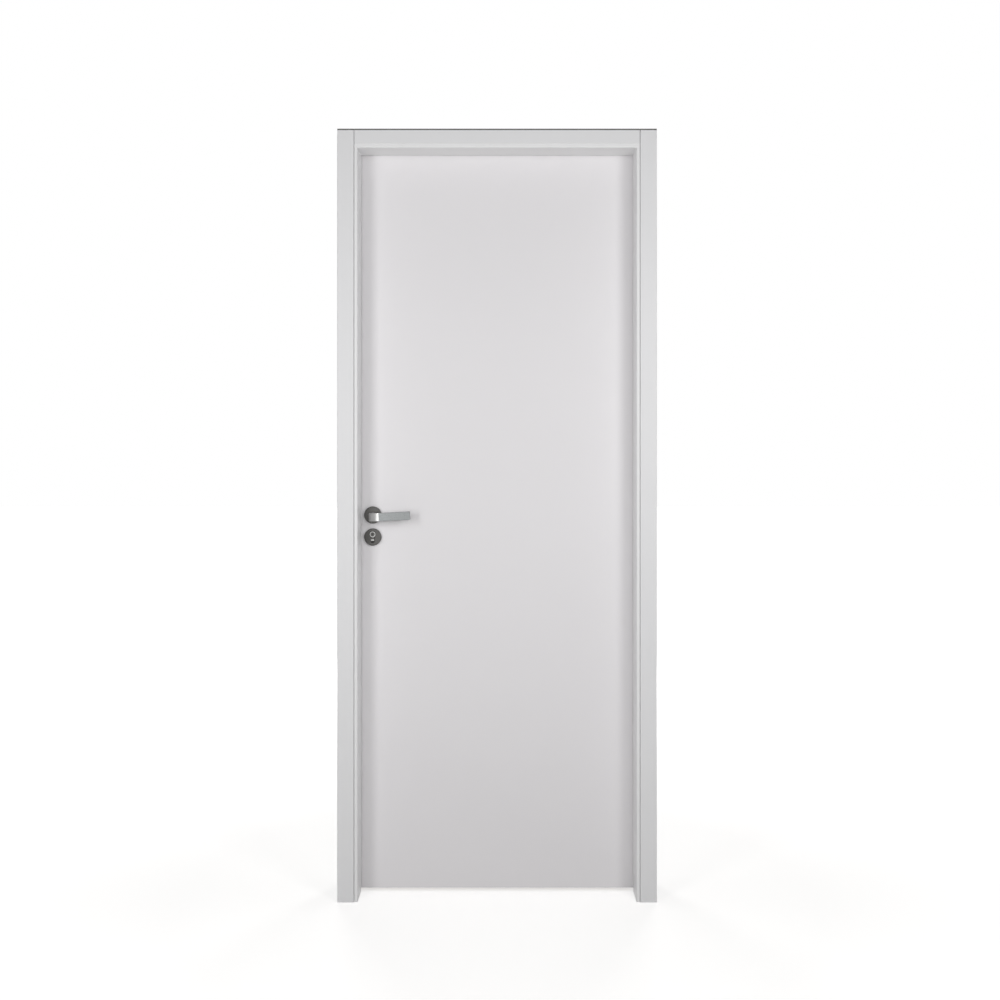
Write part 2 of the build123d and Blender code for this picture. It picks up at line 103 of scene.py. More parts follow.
class Wiring:
    """Adds nodes to one node tree and joins them."""

    def __init__(self, tree: bpy.types.NodeTree) -> None:
        """Keep the tree that the nodes go into."""
        self.tree = tree

    def add(self, kind: str, inputs: dict[Any, Any] | None = None, **settings: Any) -> bpy.types.Node:
        """Add one node, set its properties and fill or join its inputs.

        Args:
            kind: Blender's name for the node's type.
            inputs: a value or an output socket for each input, by the input's name or number.
            settings: the node's own properties.

        Returns:
            The new node.
        """
        node = self.tree.nodes.new(kind)
        for key, value in settings.items():
            setattr(node, key, value)
        for key, value in (inputs or {}).items():
            socket = self.socket(node, key)
            if isinstance(value, Socket):
                self.tree.links.new(value, socket)
            else:
                socket.default_value = value
        return node

    @staticmethod
    def socket(node: bpy.types.Node, key: str | int) -> Socket:
        """Find an input in use by its number or name.

        Args:
            node: the node.
            key: the input's number or name.

        Returns:
            The input's socket.
        """
        if isinstance(key, int):
            return node.inputs[key]
        return next(s for s in node.inputs if s.name == key and s.enabled)

    @staticmethod
    def shown(node: bpy.types.Node) -> Socket:
        """Give a node's output in use."""
        return next(s for s in node.outputs if s.enabled)

    def math(self, operation: str, *values: Any) -> Socket:
        """Add a math node on values or sockets and give its result."""
        return self.add("ShaderNodeMath", dict(enumerate(values)), operation=operation).outputs[0]

    def noise(self, vector: Any, scale: Any, detail: float) -> Socket:
        """Add a noise and give its value."""
        given = {"Vector": vector, "Scale": scale, "Detail": detail}
        return self.add("ShaderNodeTexNoise", given).outputs["Fac"]

    def swing(self, noise: Socket) -> Socket:
        """Give how far a noise lies from its mean."""
        return self.math("SUBTRACT", noise, NOISE_MEAN)

    def scaled(self, colour: Any, factor: Any) -> Socket:
        """Multiply a colour by a factor."""
        return self.add("ShaderNodeVectorMath", {0: colour, "Scale": factor}, operation="SCALE").outputs[0]

    def mixed(self, factor: Any, first: Any, second: Any) -> Socket:
        """Blend two colours."""
        given = {"Factor": factor, "A": first, "B": second}
        return self.shown(self.add("ShaderNodeMix", given, data_type="RGBA"))

    def effect(self, tree: bpy.types.NodeTree, inputs: dict[str, Any]) -> Any:
        """Place a shared effect with its own values and give its outputs."""
        return self.add("ShaderNodeGroup", inputs, node_tree=tree).outputs


class Effects:
    """Shader groups that several finishes share, each built once."""

    FLOAT = "NodeSocketFloat"
    VECTOR = "NodeSocketVector"
    COLOUR = "NodeSocketColor"
    CLOUD_DETAIL = 3.0
    FINE_DETAIL = 2.0
    COARSE_SCALE = 45.0
    COARSE_DETAIL = 1.0
    COARSE_SHARE = 0.4
    LINE_DETAIL = 4.0
    DUST_START = 0.15
    DUST_FULL = 0.9

    @staticmethod
    def group(
        name: str,
        inputs: dict[str, str],
        outputs: dict[str, str],
        fill: Callable[[Wiring, Any], dict[str, Socket]],
    ) -> bpy.types.NodeTree:
        """Build a shader group the first time it is asked for.

        Args:
            name: the group's name.
            inputs: socket type of each named input.
            outputs: socket type of each named output.
            fill: adds the nodes behind the input sockets and gives the socket that feeds each output.

        Returns:
            The group's node tree.
        """
        tree = bpy.data.node_groups.get(name)
        if tree:
            return tree
        tree = bpy.data.node_groups.new(name, "ShaderNodeTree")
        for label, kind in inputs.items():
            tree.interface.new_socket(label, in_out="INPUT", socket_type=kind)
        for label, kind in outputs.items():
            tree.interface.new_socket(label, in_out="OUTPUT", socket_type=kind)
        wiring = Wiring(tree)
        made = fill(wiring, wiring.add("NodeGroupInput").outputs)
        wiring.add("NodeGroupOutput", made)
        return tree

    @classmethod
    def mottle(cls) -> bpy.types.NodeTree:
        """Give the group that shifts a colour a little, in broad soft clouds.

        Returns:
            The group's node tree.
        """

        def fill(wiring: Wiring, given: Any) -> dict[str, Socket]:
            """Scale the colour by a broad noise.

            Args:
                wiring: the group's wiring.
                given: the group's input sockets by name.

            Returns:
                The socket for the colour.
            """
            clouds = wiring.noise(given["Vector"], given["Scale"], cls.CLOUD_DETAIL)
            factor = wiring.math("MULTIPLY_ADD", wiring.swing(clouds), given["Amount"], 1.0)
            return {"Colour": wiring.scaled(given["Colour"], factor)}

        sockets = {"Vector": cls.VECTOR, "Colour": cls.COLOUR, "Scale": cls.FLOAT, "Amount": cls.FLOAT}
        return cls.group("soft_mottle", sockets, {"Colour": cls.COLOUR}, fill)

    @classmethod
    def stipple(cls) -> bpy.types.NodeTree:
        """Give the group for the fine grain that a press plate leaves in melamine.

        Returns:
            The group's node tree.
        """

        def fill(wiring: Wiring, given: Any) -> dict[str, Socket]:
            """Mix a fine and a coarse noise into a height, and spread the roughness by it.

            Args:
                wiring: the group's wiring.
                given: the group's input sockets by name.

            Returns:
                The sockets for height and roughness.
            """
            fine = wiring.noise(given["Vector"], given["Scale"], cls.FINE_DETAIL)
            coarse = wiring.noise(given["Vector"], cls.COARSE_SCALE, cls.COARSE_DETAIL)
            height = wiring.math("MULTIPLY_ADD", coarse, cls.COARSE_SHARE, fine)
            spread = wiring.math("MULTIPLY", wiring.swing(fine), given["Spread"])
            return {"Height": height, "Roughness": wiring.math("ADD", given["Roughness"], spread)}

        sockets = {"Vector": cls.VECTOR, "Scale": cls.FLOAT, "Roughness": cls.FLOAT, "Spread": cls.FLOAT}
        return cls.group("pressed_stipple", sockets, {"Height": cls.FLOAT, "Roughness": cls.FLOAT}, fill)

    @classmethod
    def scratches(cls) -> bpy.types.NodeTree:
        """Give the group for the fine parallel lines of a brushed or turned metal.

        Returns:
            The group's node tree.
        """

        def fill(wiring: Wiring, given: Any) -> dict[str, Socket]:
            """Use a noise, already stretched along the lines, for height, roughness and tint.

            Args:
                wiring: the group's wiring.
                given: the group's input sockets by name.

            Returns:
                The sockets for height, roughness and colour.
            """
            lines = wiring.noise(given["Vector"], given["Scale"], cls.LINE_DETAIL)
            swing = wiring.swing(lines)
            spread = wiring.math("MULTIPLY", swing, given["Spread"])
            rough = wiring.math("ADD", given["Roughness"], spread)
            factor = wiring.math("MULTIPLY_ADD", swing, given["Tint"], 1.0)
            colour = wiring.scaled(given["Colour"], factor)
            return {"Height": lines, "Roughness": rough, "Colour": colour}

        numbers = dict.fromkeys(("Scale", "Roughness", "Spread", "Tint"), cls.FLOAT)
        sockets = {"Vector": cls.VECTOR, "Colour": cls.COLOUR, **numbers}
        outputs = {"Height": cls.FLOAT, "Roughness": cls.FLOAT, "Colour": cls.COLOUR}
        return cls.group("metal_scratches", sockets, outputs, fill)

    @classmethod
    def dust(cls) -> bpy.types.NodeTree:
        """Give the group that lays a thin film of dust on faces that look up.

        Returns:
            The group's node tree.
        """

        def fill(wiring: Wiring, given: Any) -> dict[str, Socket]:
            """Blend towards the dust colour where the surface faces up.

            Args:
                wiring: the group's wiring.
                given: the group's input sockets by name.

            Returns:
                The socket for the colour.
            """
            normal = wiring.add("ShaderNodeNewGeometry").outputs["Normal"]
            upward = wiring.add("ShaderNodeSeparateXYZ", {"Vector": normal}).outputs["Z"]
            ends = {"From Min": cls.DUST_START, "From Max": cls.DUST_FULL, "To Max": given["Amount"]}
            film = wiring.add("ShaderNodeMapRange", {"Value": upward, **ends}).outputs[0]
            return {"Colour": wiring.mixed(film, given["Colour"], given["Dust"])}

        sockets = {"Colour": cls.COLOUR, "Dust": cls.COLOUR, "Amount": cls.FLOAT}
        return cls.group("settled_dust", sockets, {"Colour": cls.COLOUR}, fill)

    @classmethod
    def painted_top_shade(cls) -> bpy.types.NodeTree:
        """Give the group for the painted shade along the top edge of a board, where its rounded arris gets no
        light from above.

        Returns:
            The group's node tree.
        """

        def fill(wiring: Wiring, given: Any) -> dict[str, Socket]:
            """Blend to the painted shade colour above a height.

            Args:
                wiring: the group's wiring.
                given: the group's input sockets by name.

            Returns:
                The socket for the colour.
            """
            rise = wiring.add("ShaderNodeSeparateXYZ", {"Vector": given["Vector"]}).outputs["Z"]
            mask = wiring.math("GREATER_THAN", rise, given["Height"])
            return {"Colour": wiring.mixed(mask, given["Colour"], given["Raw"])}

        sockets = {"Vector": cls.VECTOR, "Colour": cls.COLOUR, "Raw": cls.COLOUR, "Height": cls.FLOAT}
        return cls.group("painted_top_shade_band", sockets, {"Colour": cls.COLOUR}, fill)


class Finish:
    """A surface finish that makes its material once and hands it out by name."""

    slot: str
    piece = ""

    @property
    def title(self) -> str:
        """The material's name; a finish that is fitted to one piece adds that piece's name."""
        return f"{self.slot}.{self.piece or 'finish'}"

    def material(self) -> bpy.types.Material:
        """Give the finish's material, built the first time it is asked for.

        Returns:
            The material.
        """
        known = bpy.data.materials.get(self.title)
        if known:
            return known
        made = bpy.data.materials.new(self.title)
        made.use_nodes = True
        made.node_tree.nodes.clear()
        wiring = Wiring(made.node_tree)
        shader = wiring.add("ShaderNodeBsdfPrincipled")
        wiring.add("ShaderNodeOutputMaterial", {"Surface": shader.outputs["BSDF"]})
        coords = wiring.add("ShaderNodeTexCoord").outputs["Object"]
        for name, socket in self.fill(wiring, shader, coords).items():
            wiring.tree.links.new(socket, shader.inputs[name])
        return made

    def fill(self, wiring: Wiring, shader: bpy.types.Node, coords: Socket) -> dict[str, Socket]:
        """Add the finish's nodes and give the socket that feeds each of the shader's inputs.

        Args:
            wiring: the material's wiring.
            shader: its shader, for values that are the same all over.
            coords: the piece's own coordinates.

        Returns:
            A socket for each input that changes over the surface.
        """
        raise NotImplementedError

    @staticmethod
    def bump(wiring: Wiring, height: Socket, depth: float) -> Socket:
        """Turn a height into a normal; depth is in metres."""
        node = wiring.add("ShaderNodeBump", {"Height": height, "Strength": 1.0, "Distance": depth})
        return node.outputs["Normal"]


@dataclass(frozen=True)
class PressedWhite(Finish):
    """White melamine or foil: a faint stipple, soft clouds, a little dust on top and painted shade along the
    top edge.
    """

    slot: str
    colour: Colour
    roughness: float
    stipple_scale: float
    stipple_depth: float
    mottle: float
    dust: float
    dust_colour: Colour = (0.22, 0.21, 0.20)
    painted_shade_from: float = 100.0
    painted_shade_colour: Colour = (0.14, 0.138, 0.134)
    mottle_scale: float = 2.2
    spread: float = 0.12
    specular: float = 0.4
    piece: str = ""

    def fill(self, wiring: Wiring, shader: bpy.types.Node, coords: Socket) -> dict[str, Socket]:
        """Feed colour, roughness and normal from the shared effects.

        Args:
            wiring: the material's wiring.
            shader: its shader.
            coords: the piece's own coordinates.

        Returns:
            The sockets for the shader's inputs.
        """
        shader.inputs["Specular IOR Level"].default_value = self.specular
        plain = {"Colour": (*self.colour, 1.0), "Scale": self.mottle_scale, "Amount": self.mottle}
        clouds = wiring.effect(Effects.mottle(), {"Vector": coords, **plain})
        settled = {"Dust": (*self.dust_colour, 1.0), "Amount": self.dust}
        film = wiring.effect(Effects.dust(), {"Colour": clouds["Colour"], **settled})
        # painted shade: above the given height the colour blends to dark grey, standing in for the top arris
        # in shade
        painted_shade = {"Raw": (*self.painted_shade_colour, 1.0), "Height": self.painted_shade_from}
        edge = wiring.effect(Effects.painted_top_shade(), {"Vector": coords, "Colour": film["Colour"], **painted_shade})
        grain = {"Scale": self.stipple_scale, "Roughness": self.roughness, "Spread": self.spread}
        press = wiring.effect(Effects.stipple(), {"Vector": coords, **grain})
        normal = self.bump(wiring, press["Height"], self.stipple_depth)
        return {"Base Color": edge["Colour"], "Roughness": press["Roughness"], "Normal": normal}


@dataclass(frozen=True)
class ChipBoard(Finish):
    """Raw particle board: pressed chips of several browns."""

    slot: str
    pale: Colour
    deep: Colour
    chip_scale: float
    chip_depth: float = 0.3 * MM
    roughness: float = 0.9

    def fill(self, wiring: Wiring, shader: bpy.types.Node, coords: Socket) -> dict[str, Socket]:
        """Colour each chip by its cell and raise the chips a little.

        Args:
            wiring: the material's wiring.
            shader: its shader.
            coords: the piece's own coordinates.

        Returns:
            The sockets for the shader's inputs.
        """
        shader.inputs["Roughness"].default_value = self.roughness
        chips = wiring.add("ShaderNodeTexVoronoi", {"Vector": coords, "Scale": self.chip_scale}).outputs
        tone = wiring.add("ShaderNodeSeparateColor", {"Color": chips["Color"]}).outputs[0]
        colour = wiring.mixed(tone, (*self.pale, 1.0), (*self.deep, 1.0))
        return {"Base Color": colour, "Normal": self.bump(wiring, chips["Distance"], self.chip_depth)}


@dataclass(frozen=True)
class SoftStrip(Finish):
    """Soft grey strip of a door seal, matt with a fine skin."""

    slot: str
    colour: Colour
    roughness: float
    mottle_scale: float = 30.0
    mottle: float = 0.15
    skin_scale: float = 900.0
    skin_depth: float = 0.05 * MM
    spread: float = 0.2

    def fill(self, wiring: Wiring, shader: bpy.types.Node, coords: Socket) -> dict[str, Socket]:
        """Feed colour, roughness and normal from the shared effects.

        Args:
            wiring: the material's wiring.
            shader: its shader.
            coords: the piece's own coordinates.

        Returns:
            The sockets for the shader's inputs.
        """
        plain = {"Colour": (*self.colour, 1.0), "Scale": self.mottle_scale, "Amount": self.mottle}
        clouds = wiring.effect(Effects.mottle(), {"Vector": coords, **plain})
        grain = {"Scale": self.skin_scale, "Roughness": self.roughness, "Spread": self.spread}
        skin = wiring.effect(Effects.stipple(), {"Vector": coords, **grain})
        normal = self.bump(wiring, skin["Height"], self.skin_depth)
        return {"Base Color": clouds["Colour"], "Roughness": skin["Roughness"], "Normal": normal}


@dataclass(frozen=True)
class SatinMetal(Finish):
    """Metal with fine lines, brushed along an axis or turned about a centre."""

    slot: str
    colour: Colour
    roughness: float
    grain: Grain
    line_scale: float = 2600.0
    spread: float = 0.25
    tint: float = 0.35
    depth: float = 0.004 * MM
    centre: Point = (0.0, 0.0, 0.0)
    piece: str = ""

    def fill(self, wiring: Wiring, shader: bpy.types.Node, coords: Socket) -> dict[str, Socket]:
        """Stretch the lines along the grain and feed them to the shader.

        Args:
            wiring: the material's wiring.
            shader: its shader.
            coords: the piece's own coordinates.

        Returns:
            The sockets for the shader's inputs.
        """
        shader.inputs["Metallic"].default_value = 1.0
        shift = tuple(-value for value in self.centre)
        placed = wiring.add("ShaderNodeMapping", {"Vector": coords, "Location": shift}).outputs[0]
        along = {0: placed, 1: self.grain.value}
        stretch = wiring.add("ShaderNodeVectorMath", along, operation="MULTIPLY").outputs[0]
        if self.grain is Grain.TURNED:
            radius = wiring.add("ShaderNodeVectorMath", {0: stretch}, operation="LENGTH").outputs["Value"]
            stretch = wiring.add("ShaderNodeCombineXYZ", {"X": radius}).outputs[0]
        look = {"Colour": (*self.colour, 1.0), "Roughness": self.roughness}
        grain = {"Scale": self.line_scale, "Spread": self.spread, "Tint": self.tint}
        lines = wiring.effect(Effects.scratches(), {"Vector": stretch, **look, **grain})
        normal = self.bump(wiring, lines["Height"], self.depth)
        return {"Base Color": lines["Colour"], "Roughness": lines["Roughness"], "Normal": normal}


LEAF_WHITE = PressedWhite("leaf_white", (0.80, 0.785, 0.80), 0.42, 1100.0, 0.02 * MM, 0.02, 0.35)
FRAME_WHITE = PressedWhite("frame_white", (0.775, 0.775, 0.785), 0.38, 1600.0, 0.012 * MM, 0.02, 0.55)
# a lighter copy of the frame white on the jambs: painted light that lifts the shaded reveals, bead and seam
JAMB_PAINTED_LIGHT = replace(FRAME_WHITE, colour=(0.825, 0.825, 0.83), piece="jamb")
CORE_BOARD = ChipBoard("core_board", (0.56, 0.43, 0.29), (0.33, 0.22, 0.13), 320.0)
SEAL_STRIP = SoftStrip("seal_strip", (0.66, 0.66, 0.65), 0.7)
HINGE_STEEL = SatinMetal("hinge_steel", (0.50, 0.50, 0.49), 0.34, Grain.ALONG_Z)
LOCK_STEEL = SatinMetal("lock_steel", (0.52, 0.52, 0.51), 0.36, Grain.ALONG_Z)
LEVER_METAL = SatinMetal("satin_lever_metal", (0.245, 0.255, 0.257), 0.30, Grain.ALONG_X, tint=0.15)
# the neck is a lighter copy of the lever metal: painted reflection of the left lamp and bright surroundings
# on the bend; the lever is one metal
NECK_PAINTED_REFLECTION = replace(LEVER_METAL, colour=(0.66, 0.66, 0.65), roughness=0.36, piece="neck")
ROSE_METAL = SatinMetal(
    "dark_satin_metal", (0.088, 0.086, 0.083), 0.32, Grain.TURNED, line_scale=1500.0, tint=0.5
)
CYLINDER_METAL = SatinMetal("cylinder_metal", (0.095, 0.093, 0.09), 0.26, Grain.ALONG_X)
# a lighter copy of the cylinder metal: on the collar a polished ring brightened further as painted highlight,
# on the bar a painted highlight
CYLINDER_PAINTED_HIGHLIGHT = replace(CYLINDER_METAL, colour=(0.60, 0.60, 0.59), roughness=0.2, piece="shine")
# a near-black copy of the cylinder metal: painted shade for the slot mark
CYLINDER_PAINTED_SHADE = replace(CYLINDER_METAL, colour=(0.012, 0.012, 0.012), roughness=0.6, piece="shade")


class Skin:
    """A surface lofted through rings that all have the same number of points.

    The tone is the number of the finish that new faces get, and tones keeps it for each face.
    """

    def __init__(self) -> None:
        """Start with no rings."""
        self.bm = bmesh.new()
        self.first: list[bmesh.types.BMVert] = []
        self.last: list[bmesh.types.BMVert] = []
        self.tone = 0
        self.tones: list[int] = []

    def ring(self, points: Iterable[Sequence[float]], sharp: bool = False) -> None:
        """Add a ring and join it to the one before.

        Args:
            points: the ring's points, in order.
            sharp: whether the surface has a crease along this ring.
        """
        verts = [self.bm.verts.new(point) for point in points]
        if self.last:
            self.bridge(self.last, verts)
        else:
            self.first = verts
        self.last = verts
        if sharp:
            self.crease(verts)

    def bridge(self, start: list[bmesh.types.BMVert], end: list[bmesh.types.BMVert]) -> None:
        """Fill the band between two rings with four-sided faces.

        Args:
            start: the first ring.
            end: the ring after it.
        """
        for index, vert in enumerate(start):
            after = (index + 1) % len(start)
            self.bm.faces.new((vert, start[after], end[after], end[index]))
            self.tones.append(self.tone)

    def crease(self, verts: list[bmesh.types.BMVert]) -> None:
        """Mark every edge of a ring as a crease.

        Args:
            verts: the ring.
        """
        for index, vert in enumerate(verts):
            ends = (vert, verts[(index + 1) % len(verts)])
            edge = self.bm.edges.get(ends) or self.bm.edges.new(ends)
            edge.smooth = False

    def cap_ends(self) -> None:
        """Close the first and the last ring with flat faces and start anew."""
        for verts in (self.first, self.last):
            self.crease(verts)
            self.bm.faces.new(verts)
            self.tones.append(self.tone)
        self.first, self.last = [], []

    def join_ends(self) -> None:
        """Join the last ring to the first, as on a turned piece with a hole, and start anew."""
        self.bridge(self.last, self.first)
        self.first, self.last = [], []

    def mesh(self, name: str) -> bpy.types.Mesh:
        """Give the finished mesh, smooth apart from its creases and with flat faces kept flat.

        Args:
            name: the mesh's name.

        Returns:
            A plain mesh with its own normals.
        """
        bmesh.ops.recalc_face_normals(self.bm, faces=self.bm.faces)
        for made in self.bm.faces:
            made.smooth = True
        rough = bpy.data.meshes.new(f"{name}_rough")
        self.bm.to_mesh(rough)
        self.bm.free()
        holder = bpy.data.objects.new(f"{name}_holder", rough)
        bpy.context.scene.collection.objects.link(holder)
        weighted = holder.modifiers.new("flat_faces", "WEIGHTED_NORMAL")
        weighted.keep_sharp = True
        made = plain_mesh(holder)
        bpy.data.objects.remove(holder)
        bpy.data.meshes.remove(rough)
        made.name = name
        return made


def plain_mesh(holder: bpy.types.Object) -> bpy.types.Mesh:
    """Turn an object and its modifiers into a plain mesh.

    Args:
        holder: the object to read.

    Returns:
        A new mesh of what the object shows.
    """
    depsgraph = bpy.context.evaluated_depsgraph_get()
    shown = holder.evaluated_get(depsgraph)
    return bpy.data.meshes.new_from_object(shown, preserve_all_data_layers=True, depsgraph=depsgraph)


def add_piece(
    name: str, mesh: bpy.types.Mesh, body: str, finish: Finish, *stands_for: str
) -> bpy.types.Object:
    """Put a finished mesh into the scene as a piece of the door.

    Args:
        name: the piece's name.
        mesh: its mesh, already in place.
        body: the CAD body that it moves with.
        finish: its finish, which names the record's slot.
        stands_for: CAD nodes that it is shown instead of.

    Returns:
        The new object.
    """
    piece = bpy.data.objects.new(name, mesh)
    bpy.context.scene.collection.objects.link(piece)
    mesh.materials.clear()
    mesh.materials.append(finish.material())
    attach(piece, body)
    if stands_for:
        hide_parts(*stands_for)
    log.info("piece %s on %s, %d faces", name, body, len(mesh.polygons))
    return piece


def paint(piece: bpy.types.Object, tones: list[int], *finishes: Finish) -> None:
    """Give some faces of a piece other finishes than its first.

    Args:
        piece: the piece, which has its first finish.
        tones: for each face 0 for that finish, or the number of one of the others.
        finishes: the other finishes.
    """
    for finish in finishes:
        piece.data.materials.append(finish.material())
    piece.data.polygons.foreach_set("material_index", tones)


def dress(finish: Finish, *nodes: str) -> None:
    """Give CAD nodes that keep their shape a finish.

    Args:
        finish: the finish.
        nodes: the nodes' names.
    """
    for node in nodes:
        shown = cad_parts[node].data
        shown.materials.clear()
        shown.materials.append(finish.material())
        log.info("dressed %s in %s", node, finish.slot)


def arc(start: float, end: float, steps: int) -> list[float]:
    """Give evenly spaced angles in radians from one angle to another, both in degrees."""
    return [math.radians(start + (end - start) * step / steps) for step in range(steps + 1)]


@dataclass
class DoorFrame:
    """Jambs, casings, seal strips and the strike plate."""

    members: tuple[str, ...] = ("hinge_jamb", "lock_jamb", "head_jamb")
    casing_places: tuple[str, ...] = ("left", "right", "head")
    seals: tuple[str, ...] = ("hinge_seal", "lock_seal", "head_seal")
    painted_shade_band: float = 4.5 * MM

    def dress(self) -> None:
        """Give the frame's nodes their finishes."""
        dress(JAMB_PAINTED_LIGHT, *self.members)
        dress(FRAME_WHITE, *(f"back_{place}_casing" for place in self.casing_places))
        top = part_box("front_head_casing")[1].z
        # the front casings get a dark band along their top: painted shade of their top arris
        front_white = replace(FRAME_WHITE, painted_shade_from=top - self.painted_shade_band, piece="front_casing")
        dress(front_white, *(f"front_{place}_casing" for place in self.casing_places))
        dress(SEAL_STRIP, *self.seals)
        dress(LOCK_STEEL, "strike_plate")


@dataclass
class Leaf:
    """The flush leaf: skins, core and edge bands."""

    whites: tuple[str, ...] = (
        "front_skin",
        "back_skin",
        "lock_edge_band",
        "hinge_edge_band",
        "top_edge_band",
    )

    def dress(self) -> None:
        """Give the leaf's nodes their finishes."""
        dress(LEAF_WHITE, *self.whites)
        dress(CORE_BOARD, "leaf_core")


@dataclass
class LeverSet:
    """A lever on its rose on each face, and the spindle between them."""

    rose_rim: float = 2.0 * MM
    rose_foot: float = 0.4 * MM
    rose_eye: float = 7.2 * MM
    journal: float = 7.0 * MM
    neck_gap: float = 2.0 * MM
    neck_outer: float = 11.0 * MM
    neck_inner: float = 9.0 * MM
    neck_height: float = 22.5 * MM
    outer_straight: float = 3.0 * MM
    inner_straight: float = 8.0 * MM
    crease: float = 12.0
    arm_thickness: float = 10.0 * MM
    arm_end_height: float = 24.5 * MM
    end_corner: float = 3.0 * MM
    length: float = 110.0 * MM
    arris: float = 1.2 * MM
    tilt: float = 2.8
    sink: float = 5.4 * MM
    bend_steps: int = 28
    corner_steps: int = 5
    turns: int = 120

    def build(self) -> None:
        """Make both levers and both roses, and dress the spindle."""
        for face in Face:
            self.build_rose(face)
            self.build_lever(face)
        dress(LEVER_METAL, "spindle")

    def build_rose(self, face: Face) -> None:
        """Turn one rose: a flat face, a round rim and a narrow foot on the leaf.

        Args:
            face: the face of the leaf that it is on.
        """
        node = f"{face.label}_lever_rose"
        rose = RoseBlank(node, face)
        skin = Skin()
        angles = arc(0.0, 360.0, self.turns)[:-1]
        for radius, height in rose.rim_profile(self.rose_rim, self.rose_foot):
            skin.ring(rose.ring(angles, height, radius))
        skin.ring(rose.ring(angles, rose.thickness, self.rose_eye + self.rose_foot), sharp=True)
        skin.ring(rose.ring(angles, rose.thickness - self.rose_foot, self.rose_eye), sharp=True)
        skin.ring(rose.ring(angles, 0.0, self.rose_eye), sharp=True)
        skin.join_ends()
        add_piece(f"{node}_turned", skin.mesh(node), "leaf", rose.finish(), node)

    def build_lever(self, face: Face) -> None:
        """Loft one lever from its journal to the end of its arm.

        Args:
            face: the face of the leaf that it is on.
        """
        node = f"{face.label}_lever"
        rose = RoseBlank(f"{face.label}_lever_rose", face)
        low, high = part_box(node)
        reach = max(abs(low.y - rose.seat), abs(high.y - rose.seat))
        skin = Skin()
        for height in (0.0, rose.thickness + self.neck_gap):
            skin.ring(rose.ring(arc(0.0, 360.0, self.turns)[:-1], height, self.journal))
        skin.cap_ends()
        tilt = math.radians(self.tilt)
        along = Vector((math.cos(tilt), 0.0, math.sin(tilt)))
        across = Vector((-math.sin(tilt), 0.0, math.cos(tilt)))
        outward = Vector((0.0, face.value, 0.0))
        origin = Vector((rose.centre.x, rose.seat, rose.centre.z))
        # the bend up to the crease gets the lighter copy: painted reflection
        skin.tone = 1
        sections = self.sections(rose.thickness + self.neck_gap, reach)
        for index, (section, sharp) in enumerate(sections):
            points = [origin + along * u + across * v + outward * w for u, v, w in section]
            skin.ring(points, sharp)
            if index > self.bend_steps:
                skin.tone = 0
        skin.cap_ends()
        piece = add_piece(f"{node}_bar", skin.mesh(node), "lever", LEVER_METAL, node)
        paint(piece, skin.tones, NECK_PAINTED_REFLECTION)

    def sections(self, start: float, reach: float) -> Iterable[tuple[list[Point], bool]]:
        """Work out the rounded sections of the bar from the neck to the end.

        Args:
            start: how far out from the leaf the neck starts.
            reach: how far out the front of the arm lies.

        Returns:
            Each section's points, along, across and outward, and whether a crease lies on it.
        """
        back = reach - self.arm_thickness
        outer_low = start + self.outer_straight
        inner_low = start + self.inner_straight
        outer_radius = (reach - outer_low) / math.cos(math.radians(self.crease))
        inner_radius = back - inner_low
        outer_centre = outer_radius - self.neck_outer
        inner_centre = self.neck_inner + inner_radius
        yield self.section((self.neck_inner, start), (-self.neck_outer, start)), True
        outer_turn = arc(180.0, 90.0 + self.crease, self.bend_steps)
        inner_turn = arc(180.0, 90.0, self.bend_steps)
        for step, (outer_angle, inner_angle) in enumerate(zip(outer_turn, inner_turn)):
            outer = (
                outer_centre + outer_radius * math.cos(outer_angle),
                outer_low + outer_radius * math.sin(outer_angle),
            )
            inner = (
                inner_centre + inner_radius * math.cos(inner_angle),
                inner_low + inner_radius * math.sin(inner_angle),
            )
            yield self.section(inner, outer), step == self.bend_steps
        for angle in arc(0.0, 90.0, 2 * self.corner_steps):
            inset = self.end_corner * (1 - math.sin(angle))
            drop = self.end_corner * (1 - math.cos(angle))
            along = self.length - inset
            eased = max(0.0, 1.0 - inset / self.arris)
            ease = self.arris * (1 - math.sqrt(1 - eased * eased))
            yield self.section((along, back + ease), (along, reach - ease), drop), False

    def section(self, inner: Place, outer: Place, drop: float = 0.0) -> list[Point]:
        """Draw one section of the bar: a rectangle with rounded corners.

        Args:
            inner: the middle of its side towards the leaf, along and outward.
            outer: the middle of its side away from the leaf, along and outward.
            drop: how much lower than the taper it is at its top and bottom.

        Returns:
            Its points, along, across and outward.
        """
        span = Vector(outer) - Vector(inner)
        inward = span.normalized() * self.arris
        points = []
        for corner, side, top in ((outer, -1, 1), (outer, -1, -1), (inner, 1, -1), (inner, 1, 1)):
            angles = arc(0.0, 90.0, self.corner_steps)
            if side == top:
                angles.reverse()
            for angle in angles:
                place = Vector(corner) + side * inward * (1 - math.sin(angle))
                rise = self.half_height(place.x) - drop - self.arris * (1 - math.cos(angle))
                points.append((place.x, top * rise - self.sink, place.y))
        return points

    def half_height(self, along: float) -> float:
        """Give half the bar's height at a place along it; the bar tapers evenly."""
        share = (along + self.neck_outer) / (self.length + self.neck_outer)
        return (self.neck_height + (self.arm_end_height - self.neck_height) * share) / 2


